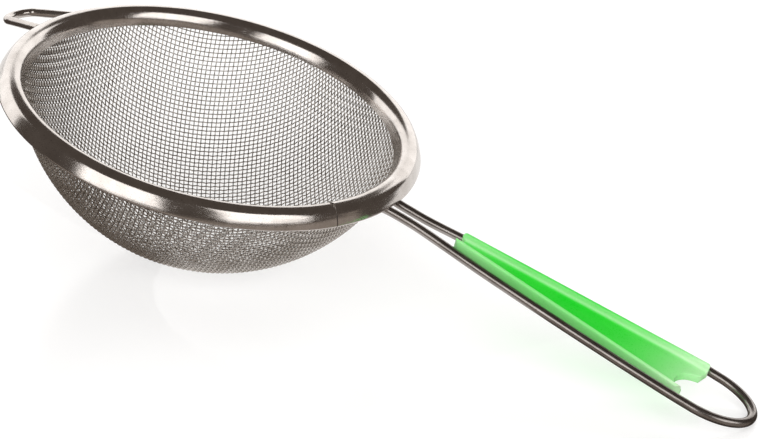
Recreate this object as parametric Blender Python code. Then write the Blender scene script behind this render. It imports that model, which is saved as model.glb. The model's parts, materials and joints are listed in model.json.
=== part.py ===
"""A round wire-mesh strainer with a wire handle, a clip-in plastic grip insert and a rest hook."""

import math

import bmesh
import bpy
import numpy as np
from mathutils import Matrix, Vector

MM = 0.001

# Rim: a rolled steel strip, section drawn as (radius, height) from the rim's top plane, in mm.
RIM_SHEET = 0.45
RIM_SEGMENTS = 72
SEAM_ANGLE = -19.0
SEAM_GAP = 0.35
RIM_SECTION = [
    (53.00, -3.70),
    (53.20, -2.30),
    (53.55, -0.90),
    (53.95, -0.24),
    (54.60, 0.00),
    (55.50, 0.08),
    (56.60, 0.04),
    (57.70, -0.11),
    (58.60, -0.36),
    (59.35, -0.78),
    (59.85, -1.36),
    (60.00, -1.85),
    (59.80, -2.32),
    (59.20, -2.70),
    (58.30, -2.91),
    (57.20, -2.95),
    (54.95, -2.95),
]

# Bowl: a spherical cap of woven wire cloth, as thick as the weave.
CLOTH = 0.55
BOWL_DEPTH = 45.9
BOWL_MOUTH = 54.50
MOUTH_LEVEL = -3.20
CLOTH_TOP = -1.50
BOWL_SEGMENTS = 60
BOWL_RINGS = 12

# Handle: one bent rod, two legs that open out to a round loop.
ROD = 1.25
ROD_SIDES = 10
ROOT_LEVEL = -4.52
ROOT_X = 60.0
HANDLE_DROP = 0.0655
LEG_START = 66.0
LEG_START_HALF = 2.92
LOOP_X = 158.7
LOOP_HALF = 9.98
SPLAY_END = (58.90, 7.60)
SPLAY_PULL = (60.60, 3.60)
SPLAY_PUSH = (62.30, 2.40)

# Hook: a U of the same rod, nearly opposite the handle. Its legs flare towards the rim, and
# they slope down once they are clear of it.
HOOK_TIP = 76.8
HOOK_HALF = 5.69
HOOK_BEND = 3.5
HOOK_FLARE = 0.20
HOOK_END = 56.2
HOOK_KNEE = 59.6
HOOK_LEVEL = -4.60
HOOK_SLOPE = 0.355
HOOK_TURN = -7.1

# Grip insert: a channel between the legs.
GRIP_START = 80.3
GRIP_END = 152.5
GRIP_STATIONS = 24
GRIP_GAP = 0.30
GRIP_TOP = 3.40
GRIP_BOTTOM = -1.35
WEB_TOP = -0.25
FLANGE = 1.15
END_NOTCH_R = 4.2
END_NOTCH_OUT = 0.6
NEAR_NOTCH_R = 1.5


def clear_scene():
    """Empties the scene."""
    for thing in list(bpy.data.objects):
        bpy.data.objects.remove(thing, do_unlink=True)


def material(name, colour, metallic, roughness):
    """One plain Principled material."""
    made = bpy.data.materials.new(name)
    made.use_nodes = True
    shader = made.node_tree.nodes["Principled BSDF"]
    shader.inputs["Base Color"].default_value = (*colour, 1.0)
    shader.inputs["Metallic"].default_value = metallic
    shader.inputs["Roughness"].default_value = roughness
    return made


def add_object(name, points, faces, finish, sharp=35.0):
    """A mesh object from points in mm, with its faces turned outwards and shaded smooth."""
    mesh = bpy.data.meshes.new(name)
    mesh.from_pydata([Vector(p) * MM for p in points], [], faces)
    shape = bmesh.new()
    shape.from_mesh(mesh)
    bmesh.ops.recalc_face_normals(shape, faces=shape.faces)
    shape.to_mesh(mesh)
    shape.free()
    mesh.shade_smooth()
    mesh.set_sharp_from_angle(angle=math.radians(sharp))
    mesh.materials.append(finish)
    made = bpy.data.objects.new(name, mesh)
    bpy.context.scene.collection.objects.link(made)
    return made


def offset_section(section, thickness):
    """The section moved to its right-hand side by the sheet's thickness, corner by corner."""
    line = np.array(section)
    steps = np.diff(line, axis=0)
    steps /= np.linalg.norm(steps, axis=1)[:, None]
    sides = np.c_[steps[:, 1], -steps[:, 0]]
    moved = []
    for i, point in enumerate(line):
        before = sides[max(i - 1, 0)]
        after = sides[min(i, len(sides) - 1)]
        middle = before + after
        middle /= np.linalg.norm(middle)
        moved.append(point + middle * thickness / max(middle @ before, 0.7))
    return moved


def ring_faces(rows, columns, closed_rows):
    """Quads between successive columns of points, each column holding the same number of rows."""
    faces = []
    last = rows if closed_rows else rows - 1
    for c in range(columns - 1):
        for r in range(last):
            a = c * rows + r
            b = c * rows + (r + 1) % rows
            faces.append((a, b, b + rows, a + rows))
    return faces


def rim_band(finish):
    """The strip rolled round an open bead and an inner skirt, with a narrow seam."""
    outer = RIM_SECTION
    inner = offset_section(RIM_SECTION, RIM_SHEET)
    loop = [tuple(p) for p in outer] + [tuple(p) for p in inner[::-1]]
    half_gap = math.degrees(SEAM_GAP / 2 / 57.0)
    start = math.radians(SEAM_ANGLE + half_gap)
    turn = math.radians(360.0 - 2 * half_gap)
    points = []
    for step in range(RIM_SEGMENTS + 1):
        angle = start + turn * step / RIM_SEGMENTS
        for radius, height in loop:
            points.append((radius * math.cos(angle), radius * math.sin(angle), height))
    rows = len(loop)
    faces = ring_faces(rows, RIM_SEGMENTS + 1, True)
    faces += end_caps(rows, len(outer), RIM_SEGMENTS * rows)
    return add_object("rim_band", points, faces, finish)


def end_caps(rows, half, last):
    """Quads that close both cut ends of the strip."""
    faces = []
    for i in range(half - 1):
        across = rows - 1 - i
        faces.append((i, i + 1, across - 1, across))
        faces.append((last + i, last + across, last + across - 1, last + i + 1))
    return faces


def cap_ring(radius, centre, level):
    """The radius of a sphere at one level."""
    return math.sqrt(max(radius**2 - (level - centre) ** 2, 0.0))


def bowl_sphere():
    """Radius and centre height of the bowl's outer sphere."""
    rise = BOWL_DEPTH + MOUTH_LEVEL
    radius = (BOWL_MOUTH**2 + rise**2) / (2 * rise)
    return radius, radius - BOWL_DEPTH


def mesh_bowl(finish):
    """The pressed cloth as one thin closed shell, its edge standing inside the rim."""
    radius, centre = bowl_sphere()
    outside = []
    inside = []
    top_angle = math.acos((CLOTH_TOP - centre) / radius)
    for step in range(BOWL_RINGS):
        angle = top_angle + (math.pi - top_angle) * step / BOWL_RINGS
        outside.append((radius * math.sin(angle), centre + radius * math.cos(angle)))
        thin = radius - CLOTH
        inside.append((thin * math.sin(angle), centre + thin * math.cos(angle)))
    inside[0] = (inside[0][0], CLOTH_TOP)
    outside[0] = (outside[0][0], CLOTH_TOP)
    section = outside[::-1] + inside
    points = []
    for step in range(BOWL_SEGMENTS):
        angle = math.tau * step / BOWL_SEGMENTS
        for r, z in section:
            points.append((r * math.cos(angle), r * math.sin(angle), z))
    rows = len(section)
    count = BOWL_SEGMENTS
    faces = []
    for c in range(count):
        d = (c + 1) % count
        for r in range(rows - 1):
            faces.append((c * rows + r, c * rows + r + 1, d * rows + r + 1, d * rows + r))
    low_out = len(points)
    points.append((0.0, 0.0, centre - radius))
    low_in = len(points)
    points.append((0.0, 0.0, centre - radius + CLOTH))
    for c in range(count):
        d = (c + 1) % count
        faces.append((c * rows, d * rows, low_out))
        faces.append((c * rows + rows - 1, d * rows + rows - 1, low_in))
    return add_object("mesh_bowl", points, faces, finish)


def bezier(p0, p1, p2, p3, count):
    """Points along a cubic curve, without its last point."""
    p0, p1, p2, p3 = (np.array(p) for p in (p0, p1, p2, p3))
    for step in range(count):
        t = step / count
        s = 1 - t
        yield s**3 * p0 + 3 * s * s * t * p1 + 3 * s * t * t * p2 + t**3 * p3


def handle_level(x):
    """Height of the rod's centre line at a distance from the bowl's axis."""
    return ROOT_LEVEL - HANDLE_DROP * max(x - ROOT_X, 0.0)


def half_width(x):
    """Half the distance between the two legs at x."""
    return LEG_START_HALF + (LOOP_HALF - LEG_START_HALF) * (x - LEG_START) / (LOOP_X - LEG_START)


def handle_path():
    """The rod's centre line from one splayed end, round the loop, to the other."""
    splay = list(bezier(SPLAY_END, SPLAY_PULL, SPLAY_PUSH, (LEG_START, LEG_START_HALF), 9))
    slope = math.atan((LOOP_HALF - LEG_START_HALF) / (LOOP_X - LEG_START))
    legs = [(x, half_width(x)) for x in np.linspace(LEG_START, LOOP_X, 9)]
    radius = LOOP_HALF / math.cos(slope)
    centre = LOOP_X + LOOP_HALF * math.tan(slope)
    bend = []
    for step in range(1, 9):
        angle = (math.pi / 2 + slope) * (1 - step / 8)
        bend.append((centre + radius * math.cos(angle), radius * math.sin(angle)))
    one = [tuple(p) for p in splay] + legs + bend
    other = [(x, -y) for x, y in one[-2::-1]]
    return [(x, y, handle_level(x)) for x, y in one + other]


def hook_path():
    """The hook's centre line."""
    bend_x = HOOK_TIP - HOOK_BEND
    along = [HOOK_END, HOOK_KNEE, *np.linspace(HOOK_KNEE + 1.2, bend_x, 4)]
    one = [(x, HOOK_HALF + HOOK_FLARE * (bend_x - x)) for x in along]
    for step in range(1, 11):
        angle = math.pi / 2 * (1 - step / 10)
        one.append((bend_x + HOOK_BEND * math.cos(angle), HOOK_HALF * math.sin(angle)))
    other = [(x, -y) for x, y in one[-2::-1]]
    turn = Matrix.Rotation(math.radians(180 + HOOK_TURN), 3, "Z")
    return [turn @ Vector((x, y, hook_level(x))) for x, y in one + other]


def hook_level(x):
    """Height of the hook's centre line at a distance from the bowl's axis."""
    return HOOK_LEVEL - HOOK_SLOPE * max(x - HOOK_KNEE, 0.0)


def rod_object(name, path, finish):
    """A round rod swept along a level path, with flat ends."""
    line = [Vector(p) for p in path]
    points = []
    for i, here in enumerate(line):
        ahead = line[min(i + 1, len(line) - 1)] - line[max(i - 1, 0)]
        ahead.normalize()
        side = Vector((0, 0, 1)).cross(ahead).normalized()
        up = ahead.cross(side)
        for k in range(ROD_SIDES):
            angle = math.tau * (k + 0.5) / ROD_SIDES
            points.append(here + (side * math.cos(angle) + up * math.sin(angle)) * ROD)
    faces = ring_faces(ROD_SIDES, len(line), True)
    faces.append(tuple(range(ROD_SIDES)))
    faces.append(tuple(range(len(points) - ROD_SIDES, len(points))))
    return add_object(name, points, faces, finish)


def grip_section(x):
    """The channel's section at x, as (across, height above the rod's centre line)."""
    outer = half_width(x) - ROD - GRIP_GAP
    inner = outer - FLANGE
    top = GRIP_TOP
    right = [
        (inner, WEB_TOP),
        (inner, top - 0.35),
        (inner + 0.35, top),
        (outer - 0.35, top),
        (outer, top - 0.35),
        (outer, GRIP_BOTTOM),
    ]
    left = [(-y, z) for y, z in right[::-1]]
    return right + left


def grip_insert(finish):
    """The channel-shaped insert, with a round notch in the web at each end."""
    points = []
    stations = np.linspace(GRIP_START, GRIP_END, GRIP_STATIONS)
    for x in stations:
        for y, z in grip_section(x):
            points.append((x, y, handle_level(x) + z))
    rows = len(grip_section(GRIP_START))
    faces = ring_faces(rows, GRIP_STATIONS, True)
    faces.append(tuple(range(rows)))
    faces.append(tuple(range(len(points) - rows, len(points))))
    body = add_object("grip_insert", points, faces, finish)
    notch(body, GRIP_END + END_NOTCH_OUT, END_NOTCH_R)
    notch(body, GRIP_START, NEAR_NOTCH_R)
    return body


def notch(body, x, radius):
    """Cuts a round notch through the insert's height."""
    points = []
    count = 24
    for level in (-8.0, 8.0):
        for k in range(count):
            angle = math.tau * (k + 0.5) / count
            z = handle_level(x) + level
            points.append((x + radius * math.cos(angle), radius * math.sin(angle), z))
    faces = [(k, (k + 1) % count, (k + 1) % count + count, k + count) for k in range(count)]
    faces.append(tuple(range(count)))
    faces.append(tuple(range(count, 2 * count)))
    cutter = add_object(body.name + "_cutter", points, faces, body.data.materials[0])
    cutter.hide_render = True
    cutter.display_type = "WIRE"
    cut = body.modifiers.new("notch", "BOOLEAN")
    cut.operation = "DIFFERENCE"
    cut.solver = "EXACT"
    cut.object = cutter


def lowest(points, tilt):
    """The lowest height of some points once the strainer is tilted handle end down."""
    return (points[:, 2] * math.cos(tilt) - points[:, 0] * math.sin(tilt)).min()


def rest_tilt(bowl, handle):
    """The tilt at which the bowl's bottom and the handle's loop reach one level."""
    low, high = 0.0, math.radians(40)
    for _ in range(60):
        middle = (low + high) / 2
        if lowest(bowl, middle) < lowest(handle, middle):
            low = middle
        else:
            high = middle
    return low


def mesh_points(thing):
    """The object's points before it is placed, in metres."""
    return np.array([tuple(v.co) for v in thing.data.vertices])


def place(things, bowl, handle):
    """Tilts every piece as the strainer rests, and centres it over the origin."""
    tilt = rest_tilt(mesh_points(bowl), mesh_points(handle))
    turn = Matrix.Rotation(tilt, 4, "Y")
    for thing in things:
        thing.data.transform(turn)
    every = np.concatenate([mesh_points(t) for t in things if not t.hide_render])
    low, high = every.min(axis=0), every.max(axis=0)
    middle = (low + high) / 2
    shift = Matrix.Translation((-middle[0], -middle[1], -low[2]))
    for thing in things:
        thing.data.transform(shift)


def main():
    """Builds every piece and sets it at rest."""
    clear_scene()
    steel = (0.42, 0.40, 0.38)
    rim_band(material("rim_steel", steel, 1.0, 0.22))
    bowl = mesh_bowl(material("cloth_steel", (0.50, 0.48, 0.45), 1.0, 0.35))
    handle = rod_object("handle_wire", handle_path(), material("rod_steel", steel, 1.0, 0.2))
    rod_object("rest_hook", hook_path(), material("hook_steel", steel, 1.0, 0.2))
    grip_insert(material("grip_plastic", (0.05, 0.80, 0.09), 0.0, 0.3))
    place(list(bpy.context.scene.objects), bowl, handle)


main()
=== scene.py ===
"""The looks of a round wire-mesh hand strainer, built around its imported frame.

Every piece is drawn in the rim's own frame, in mm: the origin is the rim's centre in its top
plane, +X runs to the handle and +Z out of the bowl. seated() then carries it to the row's frame.
"""

import json
import math

import bpy
import numpy as np
from mathutils import Matrix, Vector, noise


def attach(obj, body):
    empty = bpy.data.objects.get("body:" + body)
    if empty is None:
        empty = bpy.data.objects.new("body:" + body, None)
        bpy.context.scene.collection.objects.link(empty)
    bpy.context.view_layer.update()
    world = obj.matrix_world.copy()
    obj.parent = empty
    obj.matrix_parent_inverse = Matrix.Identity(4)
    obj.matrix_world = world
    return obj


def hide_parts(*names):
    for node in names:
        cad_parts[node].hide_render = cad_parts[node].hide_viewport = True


MM = 0.001

# Rim: the strip's section as (radius, height), from the skirt's lower edge over the bead.
UNDERSIDE = -2.95
SHEET = 0.45
SECTION = [
    (52.15, -4.60),
    (52.40, -3.70),
    (52.72, -2.75),
    (53.10, -1.95),
    (53.50, -1.30),
    (53.95, -0.78),
    (54.45, -0.38),
    (54.95, -0.12),
    (55.60, 0.00),
    (56.25, -0.04),
    (56.90, -0.20),
    (57.50, -0.46),
    (58.05, -0.86),
    (58.45, -1.36),
    (58.85, -2.02),
    (59.25, -2.72),
    (59.58, -3.40),
    (59.82, -3.98),
    (59.96, -4.42),
    (59.80, -4.72),
    (59.30, -4.85),
    (57.60, -4.80),
    (55.60, -4.70),
]
# The crest stands highest at one heading from the rim's centre, and lowest opposite it.
CREST_HIGH = 1.60
CREST_LOW = 0.00
CREST_HEADING = -35.0
SECTION_STEPS = 3
RIM_STEPS = 340
RIM_WOBBLE = 0.035
LIP_RADIUS = 56.0
BEAD_RADIUS = 57.0
LIP_WIDTH = 0.9
SEAM_ANGLE = -23.2
SEAM_GAP = 0.26
SEAM_NICK = 1.1

# Cloth: plain weave on a sphere, its wires laid out from the bowl's lowest point.
CLOTH_RADIUS = 55.82
CLOTH_CENTRE = 10.23
CLOTH_TOP = -1.70
PITCH = 1.34
WIRE = 0.19
WIRE_SIDES = 4
WEAVE_TURN = 36.0
WEAVE_LIFT = 1.03
LEAST_CROSSINGS = 3
NET_REACH = 1.42

# Rods: the handle's two legs and loop, and the hook. A leg is points as (distance from the
# rim's centre, half the opening, height).
ROD = 1.25
ROD_SIDES = 24
LEG = [
    (56.6, 3.50, -3.95),
    (58.5, 2.95, -4.00),
    (61.0, 2.70, -4.12),
    (64.0, 2.65, -4.30),
    (68.0, 2.70, -4.58),
    (72.0, 3.05, -4.86),
    (76.0, 3.53, -5.12),
    (80.0, 4.02, -5.40),
    (90.0, 5.20, -6.12),
    (100.0, 6.00, -6.92),
    (110.0, 6.88, -7.60),
    (120.0, 7.70, -8.25),
    (130.0, 8.42, -8.90),
    (140.0, 9.10, -9.52),
    (150.0, 9.65, -10.14),
    (156.0, 9.62, -10.62),
]
LOOP_LENGTH = 13.46
HANDLE_DROP = 0.0655
LOOP_STEPS = 24
UP = np.array((0.0, 0.0, 1.0))
HOOK_TIP = 76.8
HOOK_HALF = 5.69
HOOK_BEND = 3.5
HOOK_FLARE = 0.20
HOOK_END = 56.4
HOOK_KNEE = 59.6
HOOK_LEVEL = -4.35
HOOK_SLOPE = 0.355
HOOK_TURN = -7.1
HOOK_STEPS = 16
KNEE_REACH = 1.2
KNEE_CLEAR = 2.0
KNEE_SOFTNESS = 0.8

# Grip insert: a channel between the legs, a little rolled and a little skew at its ends.
# Pairs are the values at its two ends. A notch is its middle, half width and depth.
GRIP_START = 80.3
GRIP_END = 152.4
GRIP_LEVEL = -4.30
GRIP_LEVEL_AT = 60.0
GRIP_HALF = (2.72, 7.75)
GRIP_TOP = (3.65, 2.90)
GRIP_ROLL = 6.0
GRIP_BOTTOM = -1.20
GRIP_SKEW = 0.22
FOOT_INSET = 0.95
FLANGE = [
    (0.00, 2.60),
    (0.05, 1.40),
    (0.10, 0.60),
    (0.28, 0.15),
    (0.64, 0.00),
    (0.98, 0.12),
    (1.20, 0.46),
    (1.38, 1.05),
    (1.72, 1.55),
    (2.35, 1.75),
]
END_NOTCH = (-1.5, 4.2, 3.9)
START_NOTCH = (0.0, 1.5, 1.3)
NOSE = 1.3
END_REACH = 6
END_INSETS = (0.0, 0.06, 0.16, 0.30, 0.55)
EDGE_ROUNDING = (0.28, 0.12, 0.04, 0.0, 0.0)
MIDDLE_STEPS = 56
MIDDLE_FROM = 1.5
UNDER_TAPER = 0.985
WALK_ROW = 30

# Camera: its place, and where it looks.
CAMERA_PLACE = (0.22861, -0.44076, 0.25730)
CAMERA_HEADING = 116.33
CAMERA_PITCH = 25.23
CAMERA_ROLL = 4.84
SENSOR = 36.0
LENS = 94.74

# Studio: soft lights as (place, size, energy), and cards bent round the object as (bearing,
# span, lower elevation, upper elevation, distance, strength), in degrees and metres.
TOP_LIGHT = ((0.0, 0.0, 1.3), 1.6, 8.0)
FRONT_LIGHT = ((0.75, -1.0, 0.75), 0.9, 9.0)
WALL = (130, 122, 0.5, 35, 1.6, 1.5)
WARM_TABLE = (-58, 170, -50, 6, 1.4, 0.36)
SOFT_BOX_RIGHT = (-22, 46, 12, 42, 1.4, 2.0)
SOFT_BOX_LEFT = (-98, 44, 12, 43, 1.4, 2.0)
PAPER_WHITE = (1.0, 0.985, 0.97, 1.0)
WARM_TINT = (1.0, 0.87, 0.77, 1.0)
ROOM_COLOUR = (0.095, 0.079, 0.068, 1.0)
ARC_STEPS = 16
FLOOR_HALF = 4.0
FLOOR_GAP = 0.0002
SWEEP_BEHIND = [(0.05, -0.01), (0.75, 1.3), (-0.08, -0.01), (-1.6, 0.5)]
SWEEP_RADIUS = 0.052
SWEEP_POINTS = 13


def rim_frame(record):
    """The turn and the shift that carry the rim's own frame to the row's frame."""
    mount = record["mounts"][0]
    up = -Vector(mount["axis"])
    across = Vector((0, 1, 0))
    along = across.cross(up)
    turn = Matrix((along, across, up)).transposed()
    seat = Vector((0, mount["pos_m"][1], UNDERSIDE * MM))
    return np.array(turn), np.array(Vector(mount["pos_m"]) - turn @ seat)


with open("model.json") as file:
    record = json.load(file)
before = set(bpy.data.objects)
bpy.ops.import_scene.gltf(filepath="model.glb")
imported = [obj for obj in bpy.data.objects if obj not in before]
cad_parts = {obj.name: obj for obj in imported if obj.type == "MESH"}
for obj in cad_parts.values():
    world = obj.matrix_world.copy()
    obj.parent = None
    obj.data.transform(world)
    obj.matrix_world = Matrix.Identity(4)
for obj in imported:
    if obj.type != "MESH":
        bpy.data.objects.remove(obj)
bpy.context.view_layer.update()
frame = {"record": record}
TURN, SHIFT = rim_frame(frame["record"])


def seated(points):
    """Points in mm in the rim's frame, carried to the row's frame in metres."""
    return np.asarray(points) @ TURN.T * MM + SHIFT


# ---------------------------------------------------------------- meshes


class Shape:
    """Points, faces and lengths along and around the surface, gathered for one piece."""

    def __init__(self):
        self.points = []
        self.faces = []
        self.lengths = []
        self.count = 0

    def grid(self, points, along, around, wrap):
        """Quads over a grid of points. along and around are lengths in mm, for the finish."""
        rows, columns = points.shape[:2]
        self.points.append(points.reshape(-1, 3))
        last = columns if wrap else columns - 1
        for r in range(rows - 1):
            for c in range(last):
                a = self.count + r * columns + c
                b = self.count + r * columns + (c + 1) % columns
                self.faces.append((a, b, b + columns, a + columns))
                near, far = along[r], along[r + 1]
                left, right = around[c], around[c + 1]
                self.lengths += [(near, left), (near, right), (far, right), (far, left)]
        self.count += rows * columns

    def face(self, corners, flip=False):
        """One flat face over points that are there already."""
        corners = list(corners)
        if flip:
            corners.reverse()
        self.faces.append(tuple(corners))
        self.lengths += [(0.0, 0.0)] * len(corners)

    def rod(self, path, up, radius, sides):
        """A round rod along a path, closed at both ends."""
        path = np.asarray(path, float)
        ahead = unit(np.gradient(path, axis=0))
        side = unit(np.cross(up, ahead))
        over = np.cross(ahead, side)
        angles = (np.arange(sides) + 0.5) * math.tau / sides
        ring = side[:, None] * np.cos(angles)[None, :, None]
        ring = ring + over[:, None] * np.sin(angles)[None, :, None]
        steps = np.linalg.norm(np.diff(path, axis=0), axis=1)
        along = np.concatenate([[0.0], np.cumsum(steps)])
        around = np.arange(sides + 1) * math.tau * radius / sides
        first = self.count
        self.grid(path[:, None] + radius * ring, along, around, True)
        self.face(range(first, first + sides), flip=True)
        self.face(range(self.count - sides, self.count))

    def piece(self, name, finish, sharp=60.0):
        """The gathered surface as an object, smooth but for its corners."""
        mesh = bpy.data.meshes.new(name)
        points = seated(np.concatenate(self.points))
        mesh.from_pydata(points.tolist(), [], self.faces)
        layer = mesh.uv_layers.new(name="lengths")
        flat = np.asarray(self.lengths, np.float32) * MM
        layer.data.foreach_set("uv", flat.ravel())
        mesh.shade_smooth()
        mesh.set_sharp_from_angle(angle=math.radians(sharp))
        mesh.materials.append(finish)
        made = bpy.data.objects.new(name, mesh)
        bpy.context.scene.collection.objects.link(made)
        return made


def unit(rows):
    """Each row scaled to length 1."""
    return rows / np.linalg.norm(rows, axis=-1, keepdims=True)


def smooth_line(points, steps):
    """A Catmull-Rom curve through some points."""
    line = np.asarray(points, float)
    ends = np.concatenate([[2 * line[0] - line[1]], line, [2 * line[-1] - line[-2]]])
    made = []
    for i in range(len(line) - 1):
        a, b, c, d = ends[i : i + 4]
        for step in range(steps):
            t = step / steps
            bend = (2 * a - 5 * b + 4 * c - d) * t**2 + (3 * b - a - 3 * c + d) * t**3
            made.append(b + 0.5 * ((c - a) * t + bend))
    made.append(line[-1])
    return np.array(made)


# ---------------------------------------------------------------- finishes


class Finish:
    """A Principled material and short ways to add nodes to it."""

    def __init__(self, name):
        self.material = bpy.data.materials.new(name)
        self.material.use_nodes = True
        self.tree = self.material.node_tree
        self.shader = self.tree.nodes["Principled BSDF"]

    def node(self, kind, **inputs):
        """A node with some inputs set, each by a value or by another node's output."""
        made = self.tree.nodes.new(kind)
        for name, value in inputs.items():
            self.put(made.inputs[name.replace("_", " ")], value)
        return made

    def put(self, socket, value):
        """Sets or links one input."""
        if isinstance(value, bpy.types.NodeSocket):
            self.tree.links.new(value, socket)
        else:
            socket.default_value = value

    def places(self, source, scale):
        """Coordinates stretched by a scale per axis. source is UV or Object."""
        coordinates = self.node("ShaderNodeTexCoord")
        mapping = self.node("ShaderNodeMapping", Vector=coordinates.outputs[source], Scale=scale)
        return mapping.outputs["Vector"]

    def noise(self, where, scale, detail=3.0, rough=0.5):
        """Noise from 0 to 1."""
        made = self.node(
            "ShaderNodeTexNoise", Vector=where, Scale=scale, Detail=detail, Roughness=rough
        )
        return made.outputs["Fac"]

    def spread(self, value, low, high, to_low, to_high):
        """A value's range from low to high, carried to another range."""
        made = self.node("ShaderNodeMapRange", Value=value)
        for name, number in (
            ("From Min", low),
            ("From Max", high),
            ("To Min", to_low),
            ("To Max", to_high),
        ):
            made.inputs[name].default_value = number
        return made.outputs["Result"]

    def blend(self, share, first, second):
        """Two colours mixed by a share from 0 to 1."""
        made = self.tree.nodes.new("ShaderNodeMix")
        made.data_type = "RGBA"
        self.put(made.inputs[0], share)
        self.put(made.inputs[6], first)
        self.put(made.inputs[7], second)
        return made.outputs[2]

    def multiply(self, first, second):
        """Two numbers multiplied."""
        made = self.tree.nodes.new("ShaderNodeMath")
        made.operation = "MULTIPLY"
        self.put(made.inputs[0], first)
        self.put(made.inputs[1], second)
        return made.outputs[0]

    def bump(self, height, distance, strength=1.0):
        """Relief of the given height in metres."""
        made = self.node("ShaderNodeBump", Height=height, Strength=strength, Distance=distance)
        self.put(self.shader.inputs["Normal"], made.outputs["Normal"])

    def set(self, **inputs):
        """Sets or links the shader's inputs."""
        for name, value in inputs.items():
            self.put(self.shader.inputs[name.replace("_", " ")], value)


def colour(red, green, blue):
    """An opaque colour."""
    return (red, green, blue, 1.0)


def drawn_steel(name, light, dark, rough, relief):
    """Steel with fine lines along its length, soft clouding and small dark specks."""
    made = Finish(name)
    lines = made.noise(made.places("UV", (90.0, 9000.0, 1.0)), 1.0, 4.0, 0.6)
    scratches = made.noise(made.places("UV", (350.0, 14000.0, 1.0)), 1.0, 1.0)
    clouds = made.noise(made.places("Object", (1.0, 1.0, 1.0)), 170.0, 3.0)
    specks = made.noise(made.places("Object", (1.0, 1.0, 1.0)), 2600.0, 2.0, 0.7)
    stain = made.spread(clouds, 0.30, 0.72, 0.0, 1.0)
    tone = made.blend(stain, light, dark)
    speck = made.spread(specks, 0.61, 0.73, 0.0, 0.60)
    tone = made.blend(speck, tone, colour(*(0.35 * c for c in dark[:3])))
    made.set(
        Base_Color=tone,
        Metallic=1.0,
        Roughness=made.spread(lines, 0.25, 0.80, rough * 0.75, rough * 1.45),
    )
    relief_map = made.spread(lines, 0.2, 0.8, 0.0, 1.0)
    worn = made.spread(scratches, 0.62, 0.80, 1.0, 0.0)
    made.bump(made.multiply(relief_map, worn), relief)
    return made.material


def green_plastic():
    """Milky moulded plastic with faint flow lines and fine grain, and painted light: paler where
    light falls on it or shines through it.
    """
    made = Finish("grip_plastic")
    flow = made.noise(made.places("Object", (40.0, 260.0, 260.0)), 1.0, 3.0)
    grain = made.noise(made.places("Object", (1.0, 1.0, 1.0)), 3200.0, 2.0)
    # Painted light: the plastic is mixed towards a pale green where light falls on it or shines
    # through it, by the share kept on the mesh.
    painted_light_node = made.node("ShaderNodeAttribute")
    painted_light_node.attribute_name = "painted_light"
    deep = colour(0.006, 0.66, 0.018)
    fresh = colour(0.030, 0.71, 0.036)
    painted_light = colour(0.56, 0.90, 0.52)
    body = made.blend(made.spread(flow, 0.3, 0.7, 0.0, 1.0), deep, fresh)
    made.set(
        Base_Color=made.blend(painted_light_node.outputs["Fac"], body, painted_light),
        Roughness=made.spread(grain, 0.3, 0.7, 0.26, 0.34),
        IOR=1.49,
        Subsurface_Weight=0.30,
        Subsurface_Radius=(0.6, 1.6, 0.6),
        Subsurface_Scale=0.0010,
    )
    made.bump(grain, 0.0000012, 0.5)
    return made.material


def floor_white():
    """A pale, softly glossy table top, with slight clouding in its gloss."""
    made = Finish("floor_white")
    clouds = made.noise(made.places("Object", (1.0, 1.0, 1.0)), 5.0, 2.0)
    made.set(
        Base_Color=colour(0.55, 0.55, 0.55),
        Roughness=made.spread(clouds, 0.3, 0.7, 0.17, 0.21),
        Specular_IOR_Level=0.35,
        Emission_Color=colour(1.0, 1.0, 1.0),
        Emission_Strength=0.53,
    )
    return made.material


def glow(name, strength, tint=PAPER_WHITE):
    """An evenly lit card."""
    made = Finish(name)
    made.set(
        Base_Color=colour(0.0, 0.0, 0.0),
        Specular_IOR_Level=0.0,
        Emission_Color=tint,
        Emission_Strength=strength,
    )
    return made.material


# ---------------------------------------------------------------- rim


def offset(section, thickness):
    """The section moved to its right-hand side by the sheet's thickness."""
    ahead = unit(np.gradient(section, axis=0))
    side = np.c_[ahead[:, 1], -ahead[:, 0]]
    return section + side * thickness


def rim(finish):
    """The strip rolled round the cloth's edge, with a nicked seam and a slight wobble."""
    outer = smooth_line(SECTION, SECTION_STEPS)
    inner = offset(outer, SHEET)
    loop = np.concatenate([outer, inner[::-1]])
    walk = np.linalg.norm(np.diff(np.concatenate([loop, loop[:1]]), axis=0), axis=1)
    around = np.concatenate([[0.0], np.cumsum(walk)])
    lip = np.exp(-(((loop[:, 0] - LIP_RADIUS) / LIP_WIDTH) ** 2))
    gap = (SEAM_GAP + SEAM_NICK * lip) / 2 / loop[:, 0]
    seam = math.radians(SEAM_ANGLE)
    share = np.linspace(0.0, 1.0, RIM_STEPS + 1)[:, None]
    angle = seam + gap[None] + share * (math.tau - 2 * gap[None])
    radius = np.broadcast_to(loop[:, 0], angle.shape).copy()
    height = np.broadcast_to(loop[:, 1], angle.shape).copy()
    middle = seam + share[:, 0] * math.tau
    for i, a in enumerate(middle):
        spot = Vector((math.cos(a), math.sin(a), 0.0))
        radius[i] += RIM_WOBBLE * noise.noise(spot * 6.0)
        height[i] += RIM_WOBBLE * noise.noise(spot * 7.0 + Vector((0, 0, 9)))
        lean = (1 + math.cos(a - math.radians(CREST_HEADING))) / 2
        height[i] += CREST_LOW + (CREST_HIGH - CREST_LOW) * lean
    points = np.stack([radius * np.cos(angle), radius * np.sin(angle), height], axis=-1)
    shape = Shape()
    along = share[:, 0] * math.tau * BEAD_RADIUS
    shape.grid(points, along, around, True)
    rows = len(loop)
    last = shape.count - rows
    for i in range(len(outer) - 1):
        across = rows - 1 - i
        shape.face((i, i + 1, across - 1, across))
        shape.face((last + i, last + i + 1, last + across - 1, last + across), flip=True)
    return shape.piece("rim_rolled_strip", finish, 50.0)


# ---------------------------------------------------------------- cloth


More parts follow.
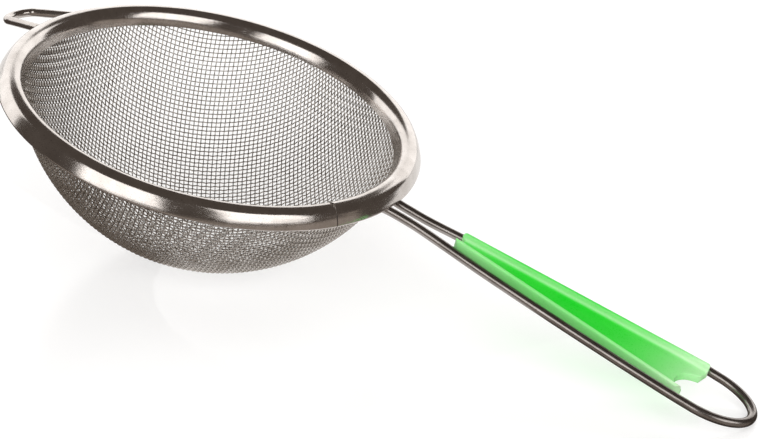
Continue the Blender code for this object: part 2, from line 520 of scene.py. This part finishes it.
def net(reach):
    """Crossings of a plain weave pressed onto the sphere, as unit directions from its centre.

    Two straight wires cross at the bottom. Every other crossing mirrors one that is there
    already in the plane of its two neighbours, so each step along each wire keeps its length.
    """
    step = PITCH / CLOTH_RADIUS
    size = 2 * reach + 1
    places = np.zeros((size, size, 3))
    for k in range(-reach, reach + 1):
        places[reach + k, reach] = (math.sin(k * step), 0.0, -math.cos(k * step))
        places[reach, reach + k] = (0.0, math.sin(k * step), -math.cos(k * step))
    for across in (1, -1):
        for down in (1, -1):
            for i in range(1, reach + 1):
                for j in range(1, reach + 1):
                    a = places[reach + across * i, reach + down * (j - 1)]
                    b = places[reach + across * (i - 1), reach + down * j]
                    old = places[reach + across * (i - 1), reach + down * (j - 1)]
                    side = np.cross(a, b)
                    side /= np.linalg.norm(side)
                    places[reach + across * i, reach + down * j] = old - 2 * side * (side @ old)
    return places


def below_rim(line, top):
    """The longest stretch of one wire that lies below the cloth's edge."""
    levels = CLOTH_CENTRE + CLOTH_RADIUS * line[:, 2]
    centre = len(line) // 2
    low = centre
    while low > 0 and levels[low - 1] < top:
        low -= 1
    high = centre
    while high < len(line) - 1 and levels[high + 1] < top:
        high += 1
    return low, high


def wires(places, name, finish, first_side):
    """All the wires of one direction, each going over and under the wires that it crosses.

    first_side is 1.0 or -1.0, and opposite for the two directions.
    """
    turn = np.array(Matrix.Rotation(math.radians(WEAVE_TURN), 3, "Z"))
    shape = Shape()
    for number, line in enumerate(places):
        low, high = below_rim(line, CLOTH_TOP)
        middle_level = CLOTH_CENTRE + CLOTH_RADIUS * line[len(line) // 2, 2]
        if middle_level > CLOTH_TOP or high - low < LEAST_CROSSINGS:
            continue
        kept = line[low : high + 1]
        between = unit((kept[1:] + kept[:-1]) / 2)
        directions = np.empty((2 * len(kept) - 1, 3))
        directions[0::2] = kept
        directions[1::2] = between
        lift = np.zeros(len(directions))
        over = np.where((np.arange(low, high + 1) + number) % 2 == 0, 1.0, -1.0)
        lift[0::2] = first_side * over * WIRE * WEAVE_LIFT
        directions = directions @ turn.T
        path = directions * (CLOTH_RADIUS + lift)[:, None]
        path[:, 2] += CLOTH_CENTRE
        shape.rod(path, directions, WIRE, WIRE_SIDES)
    return shape.piece(name, finish, 180.0)


def cloth(finish):
    """The bowl's woven cloth, as its two sets of wires."""
    reach = int(NET_REACH * CLOTH_RADIUS / PITCH)
    places = net(reach)
    return [
        wires(places, "cloth_warp", finish, 1.0),
        wires(places.transpose(1, 0, 2), "cloth_weft", finish, -1.0),
    ]


# ---------------------------------------------------------------- rods


def handle(finish):
    """One rod from its end under the bead, along a leg, round the loop and back."""
    leg = smooth_line(LEG, 4)
    angle = math.pi / 2 * (1 - np.arange(1, LOOP_STEPS + 1) / LOOP_STEPS)
    x = LEG[-1][0] + LOOP_LENGTH * np.cos(angle)
    level = LEG[-1][2] - HANDLE_DROP * (x - LEG[-1][0])
    one = np.concatenate([leg, np.c_[x, LEG[-1][1] * np.sin(angle), level]])
    path = np.concatenate([one, one[-2::-1] * (1, -1, 1)])
    shape = Shape()
    shape.rod(path, UP, ROD, ROD_SIDES)
    return shape.piece("handle_bent_rod", finish)


def hook(finish):
    """A U of rod whose legs flare towards the rim and slope down outside it."""
    bend_x = HOOK_TIP - HOOK_BEND
    x = np.array([HOOK_END, *np.linspace(HOOK_KNEE - KNEE_REACH, HOOK_KNEE + KNEE_REACH, 6)])
    x = np.concatenate([x, np.linspace(HOOK_KNEE + KNEE_CLEAR, bend_x, 8)])
    legs = np.c_[x, HOOK_HALF + HOOK_FLARE * (bend_x - x)]
    angle = math.pi / 2 * (1 - np.arange(1, HOOK_STEPS + 1) / HOOK_STEPS)
    bend = np.c_[bend_x + HOOK_BEND * np.cos(angle), HOOK_HALF * np.sin(angle)]
    one = np.concatenate([legs, bend])
    line = np.concatenate([one, one[-2::-1] * (1, -1)])
    past = line[:, 0] - HOOK_KNEE
    level = HOOK_LEVEL - HOOK_SLOPE * (np.sqrt(past**2 + KNEE_SOFTNESS) + past) / 2
    turn = np.array(Matrix.Rotation(math.radians(180 + HOOK_TURN), 3, "Z"))
    shape = Shape()
    shape.rod(np.c_[line, level] @ turn.T, UP, ROD, ROD_SIDES)
    return shape.piece("hook_bent_rod", finish)


# ---------------------------------------------------------------- grip


def along_grip(ends, x):
    """A value that runs evenly from one end of the insert to the other."""
    return np.interp(x, (GRIP_START, GRIP_END), ends)


def grip_section(x):
    """Points over the channel from its near foot to its far one, and those below them."""
    leg = np.array(LEG)
    half = along_grip(GRIP_HALF, x)
    foot = np.interp(x, leg[:, 0], leg[:, 1]) - FOOT_INSET
    top = along_grip(GRIP_TOP, x)
    inset, drop = smooth_line(FLANGE, 4).T
    near = np.c_[-half + inset, top - drop]
    near = np.concatenate([[(-foot, GRIP_BOTTOM), (-foot + 0.12, GRIP_BOTTOM + 0.5)], near])
    web_half = half - FLANGE[-1][0]
    web = np.c_[np.linspace(-web_half, web_half, 15)[1:-1], np.full(13, top - FLANGE[-1][1])]
    over = np.concatenate([near, web, near[::-1] * (-1, 1)])
    under = np.c_[over[:, 0] * UNDER_TAPER, np.full(len(over), GRIP_BOTTOM)]
    return over, under


def bite(notch, y):
    """How far a round notch reaches in at y. notch is its middle, half width and depth."""
    middle, half, depth = notch
    return depth * np.sqrt(np.clip(1 - ((y - middle) / half) ** 2, 0, None))


def nose(y, half):
    """How far an end is rounded back at its outer corners."""
    past = np.clip(np.abs(y) - (half - NOSE), 0, NOSE)
    return NOSE - np.sqrt(NOSE**2 - past**2)


def painted_light_share(x, y, half):
    """Painted light on the plastic, from 0 to 1: light on the near flange, a highlight on the far
    one's inner slope, light shining through the far end, and a little paler towards the near end.
    """
    near_flange_lit = 0.40 * np.clip((1.6 - (half + y)) / 0.6, 0, 1)
    far_slope_highlight = 0.55 * np.exp(-(((half - y - 1.5) / 0.5) ** 2))
    far_end_lit_through = 0.75 * np.clip((x - 118.0) / 34.0, 0, 1) ** 3
    near_end = 0.15 * np.clip((100.0 - x) / 18.0, 0, 1)
    return np.clip(near_flange_lit + far_slope_highlight + far_end_lit_through + near_end, 0, 1)


def grip(finish):
    """The channel-shaped insert, with rounded lobes beside a notch at each end."""
    inside = np.array(END_INSETS)
    soft = np.array(EDGE_ROUNDING)
    span = GRIP_END - GRIP_START
    middle = np.linspace(MIDDLE_FROM, span - MIDDLE_FROM, MIDDLE_STEPS)
    share = np.concatenate([inside, middle, span - inside[::-1]]) / span
    shrink = np.concatenate([soft, np.zeros(MIDDLE_STEPS), soft[::-1]])
    roll = math.radians(GRIP_ROLL)
    sheets = [[], []]
    painted_light_rows = [[], []]
    for t, small in zip(share, shrink):
        x_plain = GRIP_START + t * span
        half = along_grip(GRIP_HALF, x_plain)
        for side, line in enumerate(grip_section(x_plain)):
            y = line[:, 0]
            at_start = along_grip(GRIP_HALF, GRIP_START)
            at_end = along_grip(GRIP_HALF, GRIP_END)
            bend = GRIP_SKEW * y + bite(START_NOTCH, y) + nose(y, at_start)
            end = GRIP_SKEW * y - bite(END_NOTCH, y) - nose(y, at_end)
            x = x_plain + bend * (1 - t) ** END_REACH + end * t**END_REACH
            z = line[:, 1] + (small if side else -small)
            y_in = y * (1 - small / half)
            across = y_in * math.cos(roll) - z * math.sin(roll)
            up = y_in * math.sin(roll) + z * math.cos(roll)
            level = GRIP_LEVEL - HANDLE_DROP * (x - GRIP_LEVEL_AT)
            sheets[side].append(np.c_[x, across, level + up])
            painted_light_rows[side].append(painted_light_share(x, y, half))
    points = np.concatenate([np.array(sheets[0]), np.array(sheets[1])[:, ::-1]], axis=1)
    ring = points[WALK_ROW]
    walk = np.linalg.norm(np.diff(ring, axis=0, append=ring[:1]), axis=1)
    shape = Shape()
    along = GRIP_START + share * span
    shape.grid(points, along, np.concatenate([[0.0], np.cumsum(walk)]), True)
    width = points.shape[1]
    last = shape.count - width
    for i in range(width // 2 - 1):
        below = width - 1 - i
        shape.face((i, below, below - 1, i + 1))
        shape.face((last + i, last + i + 1, last + below - 1, last + below))
    body = shape.piece("grip_channel", finish, 60.0)
    # The painted light's share at each point, kept on the mesh for the plastic's finish.
    painted_light = np.concatenate([np.array(painted_light_rows[0]), np.array(painted_light_rows[1])[:, ::-1]], axis=1)
    layer = body.data.attributes.new("painted_light", "FLOAT", "POINT")
    layer.data.foreach_set("value", painted_light.astype(np.float32).ravel())
    return body


# ---------------------------------------------------------------- studio


def card(name, points, strength, tint=PAPER_WHITE):
    """A lit card of the studio, as one or more quads between two rows of points."""
    mesh = bpy.data.meshes.new(name)
    half = len(points) // 2
    faces = [(i, i + 1, half + i + 1, half + i) for i in range(half - 1)]
    mesh.from_pydata([tuple(p) for p in points], [], faces)
    mesh.materials.append(glow(name, strength, tint))
    made = bpy.data.objects.new(name, mesh)
    bpy.context.scene.collection.objects.link(made)
    return made


def arc_card(name, middle, span, low, high, distance, strength, tint=PAPER_WHITE):
    """A card bent round the object, between two bearings and two elevations, in degrees."""
    shares = [k / ARC_STEPS - 0.5 for k in range(ARC_STEPS + 1)]
    bearings = [math.radians(middle + span * share) for share in shares]
    points = []
    for elevation in (low, high):
        level = distance * math.tan(math.radians(elevation))
        for b in bearings:
            points.append((distance * math.cos(b), distance * math.sin(b), level))
    return card(name, points, strength, tint)


def floor():
    """A wide table top."""
    mesh = bpy.data.meshes.new("floor")
    size = FLOOR_HALF
    corners = [(-size, -size, 0), (size, -size, 0), (size, size, 0), (-size, size, 0)]
    mesh.from_pydata(corners, [], [(0, 1, 2, 3)])
    mesh.materials.append(floor_white())
    made = bpy.data.objects.new("floor", mesh)
    bpy.context.scene.collection.objects.link(made)
    made.location.z = -FLOOR_GAP
    made.visible_glossy = False


def soft_light(name, place, size, energy):
    """A wide soft light turned to the object, which adds no highlight of its own."""
    light = bpy.data.lights.new(name, "AREA")
    light.size = size
    light.energy = energy
    made = bpy.data.objects.new(name, light)
    made.location = place
    made.rotation_euler = Vector(place).to_track_quat("Z", "Y").to_euler()
    made.visible_glossy = False
    bpy.context.scene.collection.objects.link(made)


def sweep_reflection():
    """The pale table as bright metal mirrors it: behind the object and right under the bowl."""
    angles = np.linspace(0, math.pi, SWEEP_POINTS)
    ring = [(SWEEP_RADIUS * math.cos(a), SWEEP_RADIUS * math.sin(a)) for a in angles]
    across = [(x, -y) for x, y in ring]
    for name, flat in (("sweep_behind", SWEEP_BEHIND), ("sweep_under", ring + across)):
        made = card(name, [(x, y, 0.0) for x, y in flat], 1.0)
        made.visible_camera = False
        made.visible_diffuse = False
        made.visible_shadow = False


def studio():
    """Soft light: a pale wall behind, two soft boxes in front, and a dim warm room."""
    world = bpy.data.worlds.new("room")
    world.use_nodes = True
    room = world.node_tree.nodes["Background"]
    room.inputs["Color"].default_value = ROOM_COLOUR
    room.inputs["Strength"].default_value = 1.0
    bpy.context.scene.world = world
    arc_card("wall", *WALL)
    arc_card("warm_table", *WARM_TABLE, WARM_TINT)
    arc_card("soft_box_right", *SOFT_BOX_RIGHT)
    arc_card("soft_box_left", *SOFT_BOX_LEFT)
    soft_light("top_light", *TOP_LIGHT)
    soft_light("front_light", *FRONT_LIGHT)
    sweep_reflection()
    bpy.context.scene.view_settings.view_transform = "Standard"


def camera():
    """The camera, looking down at the strainer from the handle's right."""
    heading, pitch, roll = map(math.radians, (CAMERA_HEADING, CAMERA_PITCH, CAMERA_ROLL))
    ahead = Vector(
        (math.cos(pitch) * math.cos(heading), math.cos(pitch) * math.sin(heading), -math.sin(pitch))
    )
    right = ahead.cross(Vector((0, 0, 1))).normalized()
    right = Matrix.Rotation(-roll, 3, ahead) @ right
    up = right.cross(ahead)
    lens = bpy.data.cameras.new("camera")
    lens.lens = LENS
    lens.sensor_width = SENSOR
    made = bpy.data.objects.new("camera", lens)
    turn = Matrix((right, up, -ahead)).transposed().to_4x4()
    made.matrix_world = Matrix.Translation(CAMERA_PLACE) @ turn
    bpy.context.scene.collection.objects.link(made)
    bpy.context.scene.camera = made


def main():
    """Builds every piece, the studio and the camera."""
    rim_finish = drawn_steel(
        "rim_steel", colour(0.66, 0.62, 0.59), colour(0.52, 0.48, 0.45), 0.13, 0.000005
    )
    cloth_finish = drawn_steel(
        "cloth_steel", colour(0.60, 0.57, 0.54), colour(0.42, 0.38, 0.34), 0.15, 0.000002
    )
    # Painted shade: the handle rod's steel is darker than the hook's, standing in for the dimmer
    # light and weaker highlights along the legs.
    rod_finish_shaded = drawn_steel(
        "rod_steel", colour(0.39, 0.36, 0.345), colour(0.25, 0.225, 0.21), 0.24, 0.000004
    )
    hook_finish = drawn_steel(
        "hook_steel", colour(0.60, 0.56, 0.52), colour(0.46, 0.42, 0.40), 0.16, 0.000003
    )
    made = [(rim(rim_finish), "rim_band", "rim_steel")]
    made += [(piece, "mesh_bowl", "cloth_steel") for piece in cloth(cloth_finish)]
    made.append((handle(rod_finish_shaded), "handle_wire", "rod_steel"))
    made.append((hook(hook_finish), "rest_hook", "hook_steel"))
    made.append((grip(green_plastic()), "grip_insert", "grip_plastic"))
    for piece, node, slot in made:
        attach(piece, "root")
        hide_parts(node)
    floor()
    studio()
    camera()


main()
